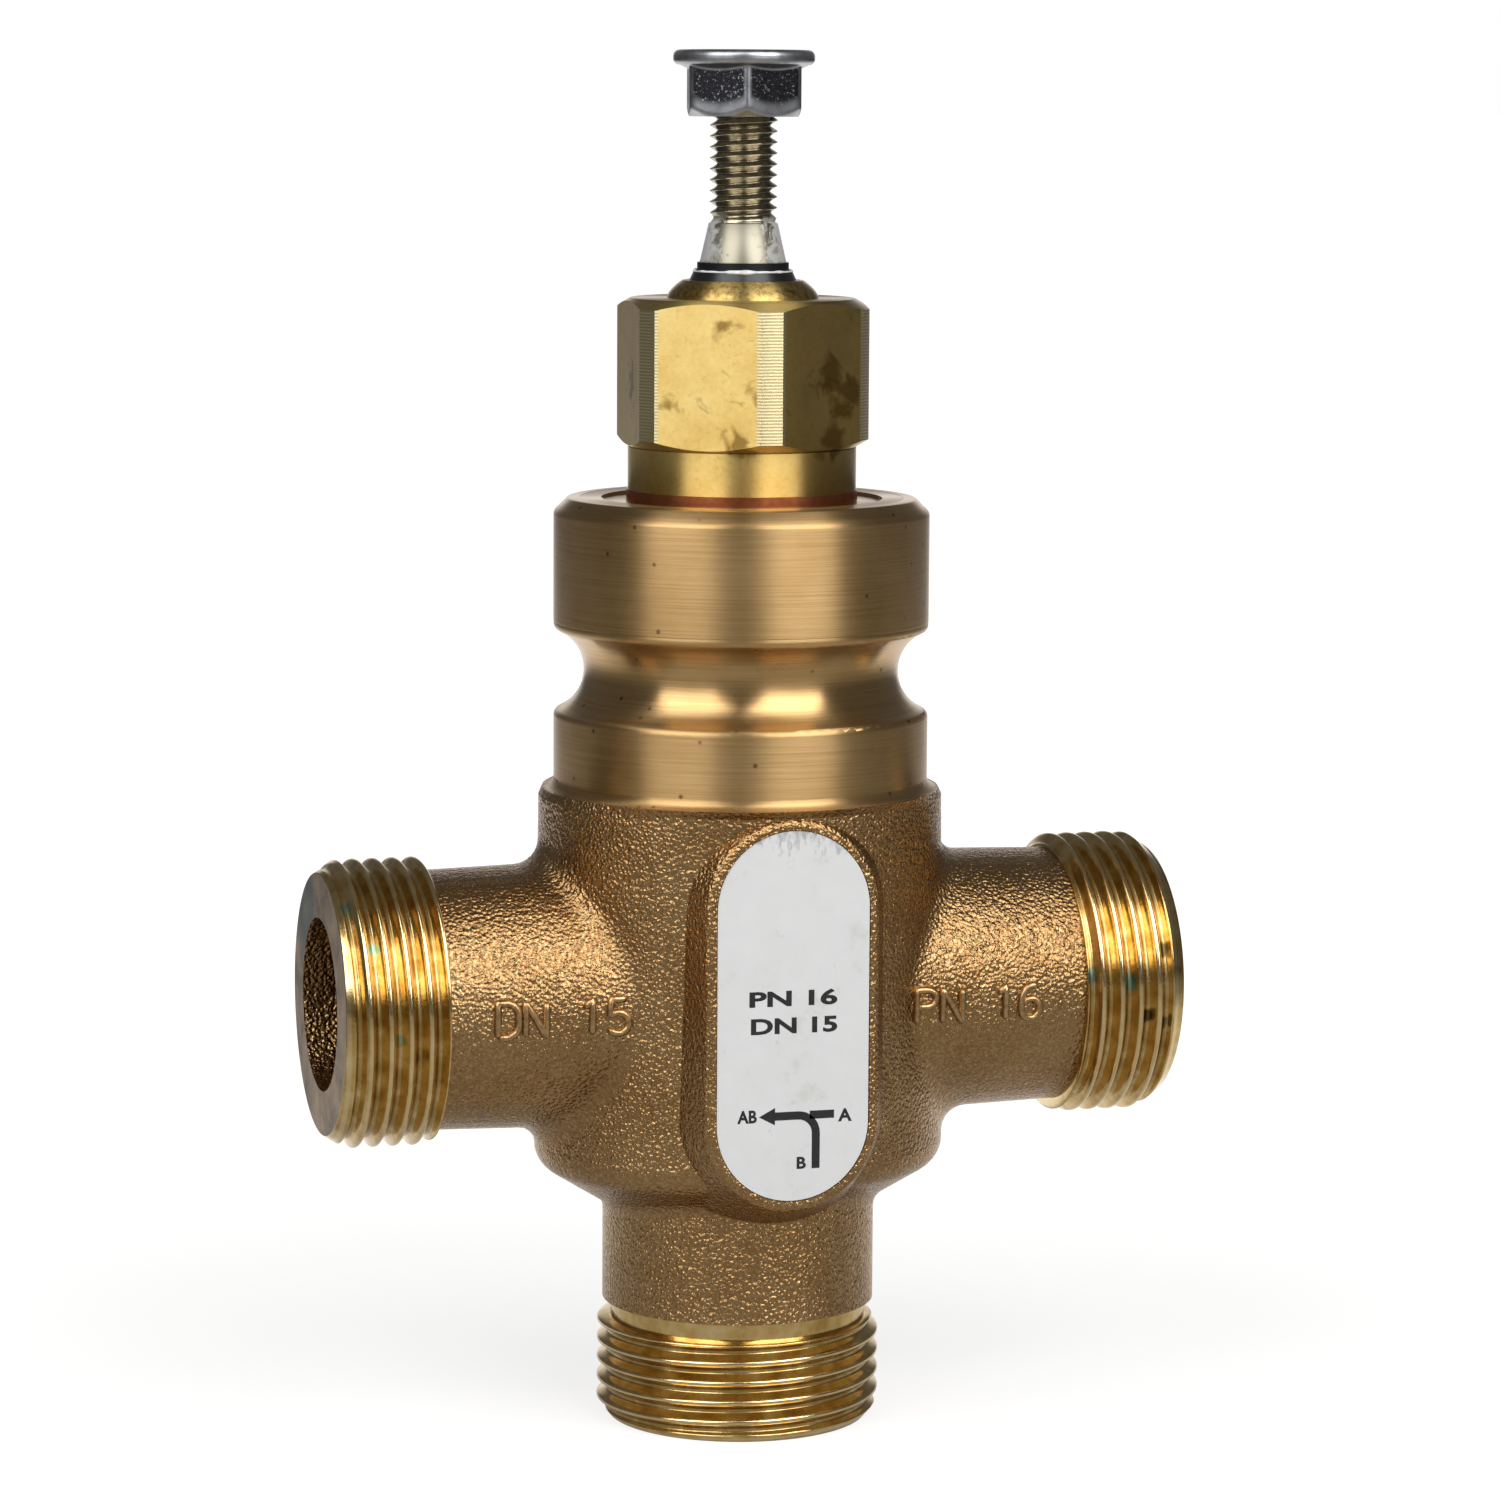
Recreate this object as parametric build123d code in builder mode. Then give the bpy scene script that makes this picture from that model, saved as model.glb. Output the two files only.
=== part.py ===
from build123d import *
import os
from math import cos, radians, tan

# Three-way control valve, DN 15, with outside pipe threads.
# Millimetres, +Z up along the stem, origin at the centre of the bottom port's face,
# port A towards +X, common port AB towards -X, label pad towards -Y.

# Standard threads, drawn as plain cylinders of the major diameter
pipe_thread_d = 33.249  # G1
stem_thread_d = 7.84  # M8, crests as rolled
plug_thread_d = 6.0

# Running and assembly clearances, measured on the radius
stem_clearance = 0.04
nut_clearance = 0.06
bore_clearance = 0.03
seat_gap = 0.05  # between the plug and a closed seat

# Side ports
face_to_face = 100.0
port_axis_z = 50.9
port_face_r = 15.1
port_chamfer = 2.2
port_thread_length = 12.2
port_neck_r = 15.0
port_draft = 1.5  # degrees
port_bore_r = 10.0
port_fillet = 3.2

# Bottom port
bottom_face_r = 15.2
bottom_chamfer = 1.6
bottom_thread_length = 12.0
bottom_relief_r = 15.0
bottom_relief = 1.7
bottom_step = 0.3
bottom_neck_r = 15.98
bottom_bore_r = 11.0
neck_fillet = 2.0

# Machined collar for the actuator
collar_r = 21.8
collar_top_z = 108.4
collar_chamfer = 1.6
collar_cove = 1.2
groove_z = 88.4
groove_r = 5.1
groove_depth = 3.5
groove_lip = 0.8
spot_face_r = 16.3
spot_face_depth = 0.4

# Oval core of the casting, its sections drawn from the ledge under the collar
ledge_z = 74.7
ledge_r = collar_r + 1.35
crown_drop = 0.9  # from the ledge down to the crown line
crown_rx = ledge_r + 0.5
crown_ry = ledge_r - 0.95
shoulder_z = 30.9
shoulder_rx = ledge_r + 1.15
shoulder_ry = ledge_r - 2.75
shoulder_slope = 31.7  # degrees from level
shoulder_round = 3.6

# Label pad and label
pad_stand = 0.35  # of the pad's front before the crown line
pad_z = 51.2
label_width = 17.9
label_length = 42.5
label_thickness = 0.25
label_recess = 0.35
label_play = 0.1
pad_rim = 1.1
pad_flank = 24.0  # degrees
pad_depth = 9.0
pad_round = 0.9

# Chambers and seats
lower_seat_z = 33.0
seat_bore_r = 6.8
seat_ring_height = 6.0
seat_ring_slot = 3.0
seat_ring_slot_depth = 1.5
seat_chamfer = 0.4
chamber_r = 10.2
stroke = 20.0
plug_disc_height = 9.0
upper_seat_land = 4.0
upper_chamber_r = 15.0
upper_chamber_height = 17.0
upper_chamber_cone = 5.0
inlet_wall = 3.4
inlet_outer_r = 20.0
inlet_half_angle = 34.0  # degrees
inlet_low_drop = 6.0

# Bonnet
gasket_thickness = 1.4
gasket_r = 13.4
gasket_play = 0.15
spigot_r = 11.95
spigot_length = 15.9
spigot_chamfer = 1.0
skirt_r = 13.24
skirt_height = 4.9
hex_flats = 27.0
hex_height = 17.15
hex_turned_r = 14.9
hex_turn = -33.0  # degrees
hex_top_slope = 30.0  # degrees
hex_foot = 0.5
dome_r = 8.76
dome_top_r = 7.0
dome_height = 2.05
packing_bore_r = 8.0
packing_top_drop = 5.45
stem_hole_play = 0.2
wiper_r = 6.6
wiper_seat_depth = 3.2
wiper_shoulder_r = 6.2
wiper_step_r = 5.75
wiper_step_height = 0.95
wiper_lip_r = 5.3
wiper_lip_height = 2.05

# Packing set, stacked from the top of the packing bore downwards
v_thickness = 2.0
v_rise = 1.2
v_gap = 0.03
v_ring_names = ["v_ring_upper", "v_ring_middle", "v_ring_lower"]
top_ring_height = 3.4
base_ring_height = 1.8
washer_thickness = 1.0
spring_thickness = 0.5
spring_rise = 0.5
spring_play = 0.12
circlip_thickness = 1.2
circlip_play = 0.1
circlip_groove_depth = 0.9
circlip_width = 2.2
circlip_gap = 5.0

# Stem set
stem_r = 5.0
stem_top_z = 158.6
stem_thread_length = 18.5
stem_cone_height = 4.4
stem_tip_chamfer = 0.6
stem_lower_r = 4.0
stem_step_z = 70.0
plug_r = 8.6
plug_nose_r = 6.6
plug_nose_end_r = 5.3
plug_nose_height = 6.0
plug_washer_r = 5.0
plug_washer_thickness = 1.0
plug_nut_flats = 10.0
plug_nut_height = 4.0
stem_tail = 0.9

# Flange nut on the stem end
nut_height = 7.6
nut_stand = 1.2  # of the nut's top over the stem end
nut_flats = 12.85
nut_turn = 17.3  # degrees
nut_flange_r = 8.14
nut_flange_edge = 1.75
nut_flange_slope = 25.0  # degrees
nut_flange_round = 0.75
nut_corner_play = 0.1
nut_chamfer_slope = 45.0  # degrees

# Heights and radii that follow from the sizes above
half_length = face_to_face / 2
pipe_r = pipe_thread_d / 2
bonnet_seat_z = collar_top_z - spot_face_depth
skirt_z = bonnet_seat_z + gasket_thickness
hex_z = skirt_z + skirt_height
hex_top_z = hex_z + hex_height
dome_top_z = hex_top_z + dome_height
packing_top_z = hex_top_z - packing_top_drop
spigot_low_z = skirt_z - spigot_length
bonnet_hole_r = spigot_r + bore_clearance
upper_seat_z = lower_seat_z + stroke + plug_disc_height
upper_chamber_z = upper_seat_z + upper_seat_land
inlet_r = chamber_r + inlet_wall
pack_in_r = stem_r + stem_clearance
pack_out_r = packing_bore_r - bore_clearance
pack_mid_r = (pack_in_r + pack_out_r) / 2
plug_low_z = lower_seat_z + seat_gap
plug_high_z = upper_seat_z - stroke - seat_gap
nose_low_z = plug_low_z - plug_nose_height
nose_high_z = plug_high_z + plug_nose_height
plug_bore_r = plug_thread_d / 2 + bore_clearance
washer_low_z = nose_low_z - plug_washer_thickness
plug_nut_low_z = washer_low_z - plug_nut_height
stem_low_z = plug_nut_low_z - stem_tail
stem_cone_high_z = stem_top_z - stem_thread_length
stem_cone_low_z = stem_cone_high_z - stem_cone_height
nut_top_z = stem_top_z + nut_stand
nut_bottom_z = nut_top_z - nut_height
pad_y = crown_ry + pad_stand

os.makedirs("parts", exist_ok=True)


def save(piece, name):
    piece.part.label = name
    export_step(piece.part, f"parts/{name}.step")


def outline(points):
    # flat face from (radius, height) points, ready to be turned about the stem axis
    with BuildSketch(Plane.XZ) as profile:
        with BuildLine():
            Polyline(*points, close=True)
        make_face()
    return profile.sketch


def ring_of(points):
    with BuildPart() as ring:
        revolve(outline(points), axis=Axis.Z)
    return ring


# Label pad of the casting, its flanks spreading inwards and its front edge rounded
pad_plane = Plane(origin=(0, -pad_y, pad_z), x_dir=(1, 0, 0), z_dir=(0, 1, 0))
with BuildPart() as label_pad:
    with BuildSketch(pad_plane):
        SlotOverall(label_length + 2 * pad_rim, label_width + 2 * pad_rim, rotation=90)
    extrude(amount=pad_depth, taper=-pad_flank)
    fillet(label_pad.faces().sort_by(Axis.Y)[0].edges(), pad_round)


# Valve body: oval core with a sloped shoulder, drawn as sections joined by straight sides
with BuildPart() as valve_body:
    foot_step = shoulder_ry - bottom_neck_r / 2
    foot_z = shoulder_z - foot_step * tan(radians(shoulder_slope))
    core_sections = [
        (foot_z, shoulder_rx - foot_step, shoulder_ry - foot_step),
        (shoulder_z, shoulder_rx, shoulder_ry),
        (ledge_z - crown_drop, crown_rx, crown_ry),
        (ledge_z, ledge_r, ledge_r),
    ]
    for section_z, section_rx, section_ry in core_sections:
        with BuildSketch(Plane.XY.offset(section_z)):
            Ellipse(section_rx, section_ry)
    loft(ruled=True)
    shoulder_line = valve_body.edges().filter_by_position(Axis.Z, shoulder_z, shoulder_z)
    fillet(shoulder_line, shoulder_round)

    # bottom port with its neck
    relief_z = bottom_thread_length + bottom_relief
    bottom_profile = [
        (0, 0),
        (bottom_face_r, 0),
        (pipe_r, bottom_chamfer),
        (pipe_r, bottom_thread_length),
        (bottom_relief_r, bottom_thread_length),
        (bottom_relief_r, relief_z),
        (bottom_neck_r, relief_z + bottom_step),
        (bottom_neck_r, shoulder_z),
        (0, shoulder_z),
    ]
    revolve(outline(bottom_profile), axis=Axis.Z)
    fillet(valve_body.edges(Select.NEW), neck_fillet)

    # side ports
    neck_x = half_length - port_thread_length
    for side in (1, -1):
        with BuildSketch(Plane.XZ):
            with BuildLine():
                Polyline(
                    (0, port_axis_z),
                    (0, port_axis_z + port_neck_r + neck_x * tan(radians(port_draft))),
                    (side * neck_x, port_axis_z + port_neck_r),
                    (side * neck_x, port_axis_z + pipe_r),
                    (side * (half_length - port_chamfer), port_axis_z + pipe_r),
                    (side * half_length, port_axis_z + port_face_r),
                    (side * half_length, port_axis_z),
                    close=True,
                )
            make_face()
        revolve(axis=Axis((0, 0, port_axis_z), (1, 0, 0)))
        fillet(valve_body.edges(Select.NEW), port_fillet)

    # label pad on the front, with a shallow recess for the label
    add(label_pad.part)
    with BuildSketch(pad_plane):
        SlotOverall(label_length + 2 * label_play, label_width + 2 * label_play, rotation=90)
    extrude(amount=label_recess, mode=Mode.SUBTRACT)

    # collar with its clamp groove, its foot coved into the ledge
    with BuildSketch(Plane.XZ) as collar_profile:
        with BuildLine():
            foot = Line((0, ledge_z), (collar_r + collar_cove, ledge_z))
            cove = TangentArc(foot @ 1, (collar_r, ledge_z + collar_cove), tangent=(-1, 0))
            Polyline(
                cove @ 1,
                (collar_r, collar_top_z - collar_chamfer),
                (collar_r - collar_chamfer, collar_top_z),
                (0, collar_top_z),
                (0, ledge_z),
            )
        make_face()
        with Locations((collar_r - groove_depth + groove_r, groove_z)):
            Circle(groove_r, mode=Mode.SUBTRACT)
        lips_low_z = groove_z - groove_r
        lips_high_z = groove_z + groove_r
        lips = collar_profile.vertices().filter_by_position(Axis.Y, lips_low_z, lips_high_z)
        fillet(lips, groove_lip)
    revolve(axis=Axis.Z)

    # chambers, seats and the hole for the bonnet, all on the stem axis
    bore_profile = [
        (0, 0),
        (bottom_bore_r, 0),
        (bottom_bore_r, lower_seat_z),
        (chamber_r, lower_seat_z),
        (chamber_r, upper_seat_z),
        (seat_bore_r + seat_chamfer, upper_seat_z),
        (seat_bore_r, upper_seat_z + seat_chamfer),
        (seat_bore_r, upper_chamber_z),
        (upper_chamber_r, upper_chamber_z),
        (upper_chamber_r, upper_chamber_z + upper_chamber_height),
        (bonnet_hole_r, upper_chamber_z + upper_chamber_height + upper_chamber_cone),
        (bonnet_hole_r, bonnet_seat_z),
        (spot_face_r, bonnet_seat_z),
        (spot_face_r, collar_top_z),
        (0, collar_top_z),
    ]
    revolve(outline(bore_profile), axis=Axis.Z, mode=Mode.SUBTRACT)

    # port AB opens into the middle chamber
    with BuildSketch(Plane.YZ.offset(-half_length)):
        with Locations((0, port_axis_z)):
            Circle(port_bore_r)
    extrude(amount=half_length, mode=Mode.SUBTRACT)

    # port A stops at the chamber wall and rises to the upper chamber
    with BuildSketch(Plane.YZ.offset(inlet_r)):
        with Locations((0, port_axis_z)):
            Circle(port_bore_r)
    extrude(amount=half_length - inlet_r, mode=Mode.SUBTRACT)
    wedge_y = half_length * tan(radians(inlet_half_angle))
    inlet_low_z = port_axis_z - inlet_low_drop
    with BuildSketch(Plane.XY.offset(inlet_low_z)):
        Circle(inlet_outer_r)
        Circle(inlet_r, mode=Mode.SUBTRACT)
        with BuildLine():
            Polyline((0, 0), (half_length, wedge_y), (half_length, -wedge_y), close=True)
        make_face(mode=Mode.INTERSECT)
    extrude(amount=upper_chamber_z + upper_seat_land - inlet_low_z, mode=Mode.SUBTRACT)
save(valve_body, "valve_body")


# Label, an obround plate lying in the pad's recess
with BuildPart() as label:
    with BuildSketch(pad_plane.offset(label_recess - label_thickness)):
        SlotOverall(label_length, label_width, rotation=90)
    extrude(amount=label_thickness)
save(label, "label")


# Lower seat ring, screwed up into the bottom port against the chamber's shoulder
with BuildPart() as lower_seat_ring:
    ring_low_z = lower_seat_z - seat_ring_height
    seat_ring_profile = [
        (seat_bore_r, ring_low_z),
        (bottom_bore_r - bore_clearance, ring_low_z),
        (bottom_bore_r - bore_clearance, lower_seat_z),
        (seat_bore_r + seat_chamfer, lower_seat_z),
        (seat_bore_r, lower_seat_z - seat_chamfer),
    ]
    revolve(outline(seat_ring_profile), axis=Axis.Z)
    with BuildSketch(Plane.XY.offset(ring_low_z)):
        Rectangle(2 * bottom_bore_r, seat_ring_slot)
    extrude(amount=seat_ring_slot_depth, mode=Mode.SUBTRACT)
save(lower_seat_ring, "lower_seat_ring")


# Bonnet gasket
bonnet_gasket = ring_of(
    [
        (spigot_r + gasket_play, bonnet_seat_z),
        (gasket_r, bonnet_seat_z),
        (gasket_r, skirt_z),
        (spigot_r + gasket_play, skirt_z),
    ]
)
save(bonnet_gasket, "bonnet_gasket")


# Bonnet: hexagon with turned corners, skirt, threaded spigot and domed top ring
with BuildPart() as bonnet:
    with BuildSketch(Plane.XY.offset(hex_z)):
        RegularPolygon(hex_flats / 2, 6, major_radius=False, rotation=hex_turn)
    extrude(amount=hex_height)
    hex_flat_r = hex_flats / 2 - hex_foot
    hex_fall = (hex_turned_r - hex_flat_r) * tan(radians(hex_top_slope))
    hex_profile = [
        (0, hex_z),
        (hex_flat_r, hex_z),
        (hex_turned_r, hex_z + hex_fall),
        (hex_turned_r, hex_top_z - hex_fall),
        (hex_flat_r, hex_top_z),
        (0, hex_top_z),
    ]
    revolve(outline(hex_profile), axis=Axis.Z, mode=Mode.INTERSECT)
    spigot_profile = [
        (0, spigot_low_z),
        (spigot_r - spigot_chamfer, spigot_low_z),
        (spigot_r, spigot_low_z + spigot_chamfer),
        (spigot_r, skirt_z),
        (skirt_r, skirt_z),
        (skirt_r, hex_z),
        (0, hex_z),
    ]
    revolve(outline(spigot_profile), axis=Axis.Z)
    with BuildSketch(Plane.XZ):
        with BuildLine():
            base = Line((0, hex_top_z), (dome_r, hex_top_z))
            flank = TangentArc(base @ 1, (dome_top_r, dome_top_z), tangent=(0, 1))
            Polyline(flank @ 1, (0, dome_top_z), (0, hex_top_z))
        make_face()
    revolve(axis=Axis.Z)
    circlip_z = spigot_low_z + circlip_thickness
    cavity_profile = [
        (0, spigot_low_z),
        (packing_bore_r, spigot_low_z),
        (packing_bore_r, circlip_z),
        (packing_bore_r + circlip_groove_depth, circlip_z),
        (packing_bore_r + circlip_groove_depth, circlip_z + circlip_thickness + circlip_play),
        (packing_bore_r, circlip_z + circlip_thickness + circlip_play),
        (packing_bore_r, packing_top_z),
        (stem_r + stem_hole_play, packing_top_z),
        (stem_r + stem_hole_play, dome_top_z - wiper_seat_depth),
        (wiper_r, dome_top_z - wiper_seat_depth),
        (wiper_r, dome_top_z),
        (0, dome_top_z),
    ]
    revolve(outline(cavity_profile), axis=Axis.Z, mode=Mode.SUBTRACT)
save(bonnet, "bonnet")


# Wiper ring with its lip standing out of the dome
wiper_ring = ring_of(
    [
        (pack_in_r, dome_top_z - wiper_seat_depth),
        (wiper_r - bore_clearance, dome_top_z - wiper_seat_depth),
        (wiper_r - bore_clearance, dome_top_z),
        (wiper_shoulder_r, dome_top_z),
        (wiper_step_r, dome_top_z + wiper_step_height),
        (wiper_lip_r, dome_top_z + wiper_step_height),
        (wiper_lip_r, dome_top_z + wiper_lip_height),
        (pack_in_r, dome_top_z + wiper_lip_height),
    ]
)
save(wiper_ring, "wiper_ring")


# Packing set: every piece hangs its height on the one above it
top_ring_z = packing_top_z - top_ring_height
packing_top_ring = ring_of(
    [
        (pack_in_r, top_ring_z),
        (pack_mid_r, top_ring_z + v_rise),
        (pack_out_r, top_ring_z),
        (pack_out_r, packing_top_z),
        (pack_in_r, packing_top_z),
    ]
)
save(packing_top_ring, "packing_top_ring")

stack_z = top_ring_z
for v_ring_name in v_ring_names:
    v_high_z = stack_z - v_gap
    v_low_z = v_high_z - v_thickness
    v_ring = ring_of(
        [
            (pack_in_r, v_low_z),
            (pack_mid_r, v_low_z + v_rise),
            (pack_out_r, v_low_z),
            (pack_out_r, v_high_z),
            (pack_mid_r, v_high_z + v_rise),
            (pack_in_r, v_high_z),
        ]
    )
    save(v_ring, v_ring_name)
    stack_z = v_low_z

base_high_z = stack_z - v_gap
base_low_z = base_high_z - base_ring_height
packing_base_ring = ring_of(
    [
        (pack_in_r, base_low_z),
        (pack_out_r, base_low_z),
        (pack_out_r, base_high_z),
        (pack_mid_r, base_high_z + v_rise),
        (pack_in_r, base_high_z),
    ]
)
save(packing_base_ring, "packing_base_ring")

thrust_low_z = base_low_z - washer_thickness
thrust_washer = ring_of(
    [
        (pack_in_r + spring_play, thrust_low_z),
        (pack_out_r, thrust_low_z),
        (pack_out_r, base_low_z),
        (pack_in_r + spring_play, base_low_z),
    ]
)
save(thrust_washer, "thrust_washer")

# Disc springs, a pair with their outer edges together
spring_in_r = pack_in_r + spring_play
spring_out_r = pack_out_r - spring_play
spring_mid_z = thrust_low_z - spring_rise - spring_thickness
spring_low_z = spring_mid_z - spring_rise - spring_thickness
with BuildPart() as disc_springs:
    upper_spring_profile = [
        (spring_in_r, thrust_low_z - spring_thickness),
        (spring_out_r, spring_mid_z),
        (spring_out_r, spring_mid_z + spring_thickness),
        (spring_in_r, thrust_low_z),
    ]
    revolve(outline(upper_spring_profile), axis=Axis.Z)
    lower_spring_profile = [
        (spring_in_r, spring_low_z),
        (spring_out_r, spring_low_z + spring_rise),
        (spring_out_r, spring_mid_z - v_gap),
        (spring_in_r, spring_low_z + spring_thickness - v_gap),
    ]
    revolve(outline(lower_spring_profile), axis=Axis.Z)
save(disc_springs, "disc_springs")

# Guide bush under the springs
bush_low_z = circlip_z + circlip_thickness + circlip_play
guide_bush = ring_of(
    [
        (pack_in_r, bush_low_z),
        (pack_out_r, bush_low_z),
        (pack_out_r, spring_low_z),
        (pack_in_r, spring_low_z),
    ]
)
save(guide_bush, "guide_bush")

# Retaining ring, split so that it can be pressed together
with BuildPart() as retaining_ring:
    with BuildSketch(Plane.XY.offset(circlip_z + circlip_play / 2)):
        Circle(packing_bore_r + circlip_groove_depth - bore_clearance)
        Circle(packing_bore_r + circlip_groove_depth - circlip_width, mode=Mode.SUBTRACT)
        with Locations((packing_bore_r, 0)):
            Rectangle(packing_bore_r, circlip_gap, mode=Mode.SUBTRACT)
    extrude(amount=circlip_thickness)
save(retaining_ring, "retaining_ring")


# Stem
stem_step_fall = stem_r - stem_lower_r
stem_thread_r = stem_thread_d / 2
stem = ring_of(
    [
        (0, stem_low_z),
        (plug_thread_d / 2, stem_low_z),
        (plug_thread_d / 2, nose_high_z),
        (stem_lower_r, nose_high_z),
        (stem_lower_r, stem_step_z),
        (stem_r, stem_step_z + stem_step_fall),
        (stem_r, stem_cone_low_z),
        (stem_thread_r, stem_cone_high_z),
        (stem_thread_r, stem_top_z - stem_tip_chamfer),
        (stem_thread_r - stem_tip_chamfer, stem_top_z),
        (0, stem_top_z),
    ]
)
save(stem, "stem")


# Valve plug with a throttling nose at each end
valve_plug = ring_of(
    [
        (plug_bore_r, nose_low_z),
        (plug_nose_end_r, nose_low_z),
        (plug_nose_r, plug_low_z),
        (plug_r, plug_low_z),
        (plug_r, plug_high_z),
        (plug_nose_r, plug_high_z),
        (plug_nose_end_r, nose_high_z),
        (plug_bore_r, nose_high_z),
    ]
)
save(valve_plug, "valve_plug")

plug_washer = ring_of(
    [
        (plug_bore_r, washer_low_z),
        (plug_washer_r, washer_low_z),
        (plug_washer_r, nose_low_z),
        (plug_bore_r, nose_low_z),
    ]
)
save(plug_washer, "plug_washer")

with BuildPart() as plug_nut:
    with BuildSketch(Plane.XY.offset(plug_nut_low_z)):
        RegularPolygon(plug_nut_flats / 2, 6, major_radius=False)
        Circle(plug_bore_r, mode=Mode.SUBTRACT)
    extrude(amount=plug_nut_height)
save(plug_nut, "plug_nut")


# Flange nut, screwed on with its flange up
with BuildPart() as flange_nut:
    nut_corner_r = nut_flats / 2 / cos(radians(30)) - nut_corner_play
    nut_fall = (nut_corner_r - nut_flats / 2) * tan(radians(nut_chamfer_slope))
    flange_low_z = nut_top_z - nut_flange_edge
    flange_foot_z = flange_low_z - (nut_flange_r - nut_flats / 2) * tan(radians(nut_flange_slope))
    with BuildSketch(Plane.XY.offset(nut_bottom_z)):
        RegularPolygon(nut_flats / 2, 6, major_radius=False, rotation=nut_turn)
    extrude(amount=flange_low_z - nut_bottom_z)
    corner_profile = [
        (0, nut_bottom_z),
        (nut_flats / 2, nut_bottom_z),
        (nut_corner_r, nut_bottom_z + nut_fall),
        (nut_corner_r, flange_low_z),
        (0, flange_low_z),
    ]
    revolve(outline(corner_profile), axis=Axis.Z, mode=Mode.INTERSECT)
    flange_profile = [
        (0, flange_foot_z),
        (nut_flats / 2, flange_foot_z),
        (nut_flange_r, flange_low_z),
        (nut_flange_r, nut_top_z),
        (0, nut_top_z),
    ]
    revolve(outline(flange_profile), axis=Axis.Z)
    rim_edges = flange_nut.edges().filter_by(GeomType.CIRCLE).sort_by(SortBy.RADIUS)[-2:]
    fillet(rim_edges, nut_flange_round)
    with BuildSketch(Plane.XY.offset(nut_bottom_z)):
        Circle(stem_thread_r + nut_clearance)
    extrude(amount=nut_height, mode=Mode.SUBTRACT)
save(flange_nut, "flange_nut")
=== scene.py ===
import bpy
import bmesh
import numpy as np
from math import cos, pi, radians, sin, tan
from mathutils import Matrix, Vector
from mathutils.bvhtree import BVHTree


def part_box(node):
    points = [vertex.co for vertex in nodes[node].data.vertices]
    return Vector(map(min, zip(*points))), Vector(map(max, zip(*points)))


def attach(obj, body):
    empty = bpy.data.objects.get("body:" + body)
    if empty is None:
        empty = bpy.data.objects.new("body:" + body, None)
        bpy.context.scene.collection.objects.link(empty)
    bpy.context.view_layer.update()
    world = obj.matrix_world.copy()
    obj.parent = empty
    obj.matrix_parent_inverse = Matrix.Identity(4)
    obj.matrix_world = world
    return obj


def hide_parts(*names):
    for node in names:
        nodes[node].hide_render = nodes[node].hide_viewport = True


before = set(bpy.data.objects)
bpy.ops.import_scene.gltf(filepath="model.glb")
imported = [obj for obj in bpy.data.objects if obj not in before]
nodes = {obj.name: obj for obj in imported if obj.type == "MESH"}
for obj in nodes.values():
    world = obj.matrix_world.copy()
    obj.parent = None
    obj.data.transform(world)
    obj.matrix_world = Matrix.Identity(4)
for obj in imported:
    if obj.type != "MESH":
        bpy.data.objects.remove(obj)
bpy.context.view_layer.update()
mm = 0.001
print("frame loaded:", len(nodes), "solids")


def linear(hexColour):
    channels = [int(hexColour[i:i + 2], 16) / 255 for i in (1, 3, 5)]
    return [c / 12.92 if c <= 0.04045 else ((c + 0.055) / 1.055) ** 2.4 for c in channels] + [1.0]


def addNode(tree, kind, settings={}, links={}):
    node = tree.nodes.new("ShaderNode" + kind)
    for key, value in settings.items():
        if key == "stops":  # colour ramp: place and hex colour
            ramp = node.color_ramp
            while len(ramp.elements) < len(value):
                ramp.elements.new(0.5)
            for element, (place, hexColour) in zip(ramp.elements, value):
                element.position = place
                element.color = linear(hexColour)
        elif isinstance(key, str) and hasattr(node, key):
            setattr(node, key, value)
        else:
            node.inputs[key].default_value = value
    for key, source in links.items():
        tree.links.new(source, node.inputs[key])
    return node


def startMaterial(name, settings={}):
    material = bpy.data.materials.new(name)
    material.use_nodes = True
    tree = material.node_tree
    shader = tree.nodes["Principled BSDF"]
    for key, value in settings.items():
        shader.inputs[key].default_value = value
    place = addNode(tree, "TexCoord").outputs["Object"]
    materials[name] = material
    return tree, shader, place


def finishMaterial(tree, shader, colour, roughness, normal=None, metallic=None):
    tree.links.new(colour, shader.inputs["Base Color"])
    tree.links.new(roughness, shader.inputs["Roughness"])
    if normal:
        tree.links.new(normal, shader.inputs["Normal"])
    if metallic:
        tree.links.new(metallic, shader.inputs["Metallic"])


def perMetre(sizeMm):
    return 1000.0 / sizeMm


# shader steps: each gives back the socket that the next one takes up
def noise(tree, place, sizeMm, detail, settings={}):
    settings = {"Scale": perMetre(sizeMm), "Detail": detail, **settings}
    return addNode(tree, "TexNoise", settings, {"Vector": place}).outputs[0]


def ramp(tree, value, *stops):
    return addNode(tree, "ValToRGB", {"stops": stops}, {"Fac": value}).outputs[0]


def remap(tree, value, fromLow, fromHigh, toLow=0.0, toHigh=1.0, kind="LINEAR"):
    settings = {"interpolation_type": kind, "From Min": fromLow, "From Max": fromHigh}
    settings.update({"To Min": toLow, "To Max": toHigh})
    return addNode(tree, "MapRange", settings, {"Value": value}).outputs[0]


def blend(tree, first, second, share):
    return addNode(tree, "Mix", {"data_type": "RGBA", 0: share}, {6: first, 7: second}).outputs[2]


def tint(tree, base, hexColour, mask):
    return addNode(tree, "Mix", {"data_type": "RGBA", 7: linear(hexColour)}, {0: mask, 6: base}).outputs[2]


def calculate(tree, operation, *terms):
    numbers = {i: term for i, term in enumerate(terms) if isinstance(term, (int, float))}
    links = {i: term for i, term in enumerate(terms) if i not in numbers}
    return addNode(tree, "Math", {"operation": operation, **numbers}, links).outputs[0]


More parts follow.
